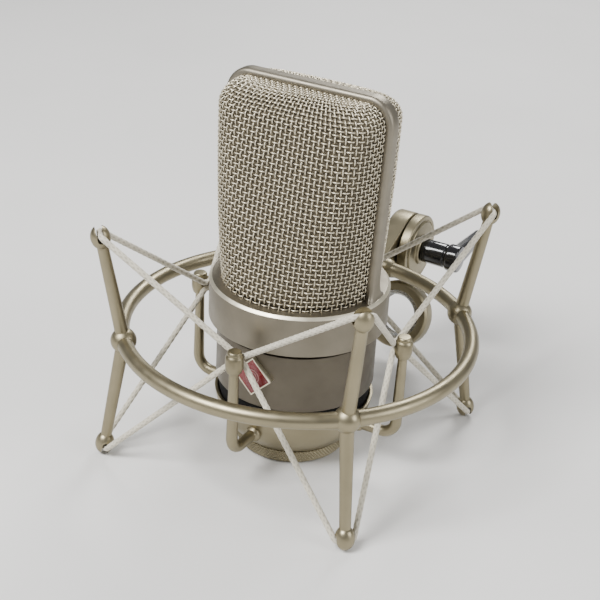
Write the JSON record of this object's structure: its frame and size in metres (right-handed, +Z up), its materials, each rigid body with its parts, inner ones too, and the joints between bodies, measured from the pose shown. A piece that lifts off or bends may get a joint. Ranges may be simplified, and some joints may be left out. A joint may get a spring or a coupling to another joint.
{
  "type": "condenser microphone",
  "caption": "Side-address condenser microphone with a wedge-shaped woven-wire head, hung by elastic cords in a round cradle suspension with a tilting, threaded stand swivel.",
  "frame": {"origin": "on the microphone axis, at the surface that the four lower post tips and the cradle nut stand on", "axes": "+Z up along the microphone axis; -Y towards the front of the microphone, where the badge is; +Y towards the stand swivel; +X to the right seen from the front"},
  "size_m": [0.1222, 0.1661, 0.129],
  "materials": {
    "nickel_light": "satin nickel plating, fine bead-blasted",
    "nickel_body": "satin nickel plating, darker",
    "cage_satin": "satin champagne nickel",
    "woven_wire": "plain woven nickel-plated wire",
    "gauze": "fine woven gauze",
    "bright_steel": "polished",
    "brass": "turned",
    "gold_film": "gold-coated film",
    "felt": "black felt",
    "elastic": "braided elastic cord",
    "rubber": "matte",
    "black_plastic": "satin black",
    "enamel_red": "glossy enamel",
    "board_green": "solder-masked board",
    "component_blue": "dipped film capacitor"
  },
  "bodies": {
    "cage": {"hoop_arc_1": "cage_satin", "hoop_arc_2": "cage_satin", "hoop_arc_3": "cage_satin", "hoop_arc_4": "cage_satin", "outer_post_1": "cage_satin", "outer_post_2": "cage_satin", "outer_post_3": "cage_satin", "outer_post_4": "cage_satin", "elastic_upper": "elastic", "elastic_lower": "elastic", "swivel_bracket": "cage_satin", "friction_washer": "black_plastic", "clamp_bolt": "bright_steel"},
    "cradle": {"cradle_cup": "cage_satin", "felt_ring": "felt", "inner_post_1": "cage_satin", "inner_post_2": "cage_satin", "inner_post_3": "cage_satin", "inner_post_4": "cage_satin"},
    "microphone": {"head_band": "nickel_light", "grille_front": "woven_wire", "grille_rear": "woven_wire", "gauze_front": "gauze", "gauze_rear": "gauze", "collar_ring": "nickel_light", "body_tube": "nickel_body", "threaded_tail": "bright_steel", "connector_insert": "black_plastic", "contact_pin_1": "brass", "contact_pin_2": "brass", "contact_pin_3": "brass", "tail_screw_1": "bright_steel", "tail_screw_2": "bright_steel", "tail_screw_3": "bright_steel", "badge_frame": "bright_steel", "badge_enamel": "enamel_red", "deck_plate": "black_plastic", "deck_screw_left": "bright_steel", "deck_screw_right": "bright_steel", "chassis_rail_left": "bright_steel", "chassis_rail_right": "bright_steel", "circuit_board_front": "board_green", "circuit_board_rear": "board_green", "capacitor_coupling": "component_blue", "capacitor_filter": "component_blue", "capacitor_supply": "component_blue", "input_transistor": "black_plastic", "voltage_converter": "black_plastic", "capsule_rubber": "rubber", "capsule_post": "brass", "capsule_backplate": "brass", "diaphragm_front": "gold_film", "diaphragm_rear": "gold_film", "clamp_ring_front": "brass", "clamp_ring_rear": "brass"},
    "nut": {"knurled_nut": "cage_satin"},
    "arm": {"stand_arm": "cage_satin", "thread_bush": "bright_steel"},
    "lever": {"clamp_knob": "black_plastic", "clamp_lever": "black_plastic"}
  },
  "joints": [
    {"name": "suspension_float", "type": "slide", "parent": "cage", "child": "cradle", "axis": [0, 0, 1], "range_m": [-0.004, 0.006], "stiffness_N_per_m": 1200, "springref_m": 0.005, "deforming": ["elastic_upper", "elastic_lower"]},
    {"name": "microphone_release", "type": "slide", "parent": "cradle", "child": "microphone", "axis": [0, 0, 1], "range_m": [0, 0.07]},
    {"name": "nut_spin", "type": "hinge", "parent": "cradle", "child": "nut", "pos_m": [0, 0, 0], "axis": [0, 0, 1], "continuous": true},
    {"name": "arm_tilt", "type": "hinge", "parent": "cage", "child": "arm", "pos_m": [0, 0.08, 0.0435], "axis": [1, 0, 0], "range_deg": [-15, 135]},
    {"name": "lever_turn", "type": "hinge", "parent": "cage", "child": "lever", "pos_m": [0, 0.08, 0.0435], "axis": [1, 0, 0], "range_deg": [-90, 90]}
  ]
}
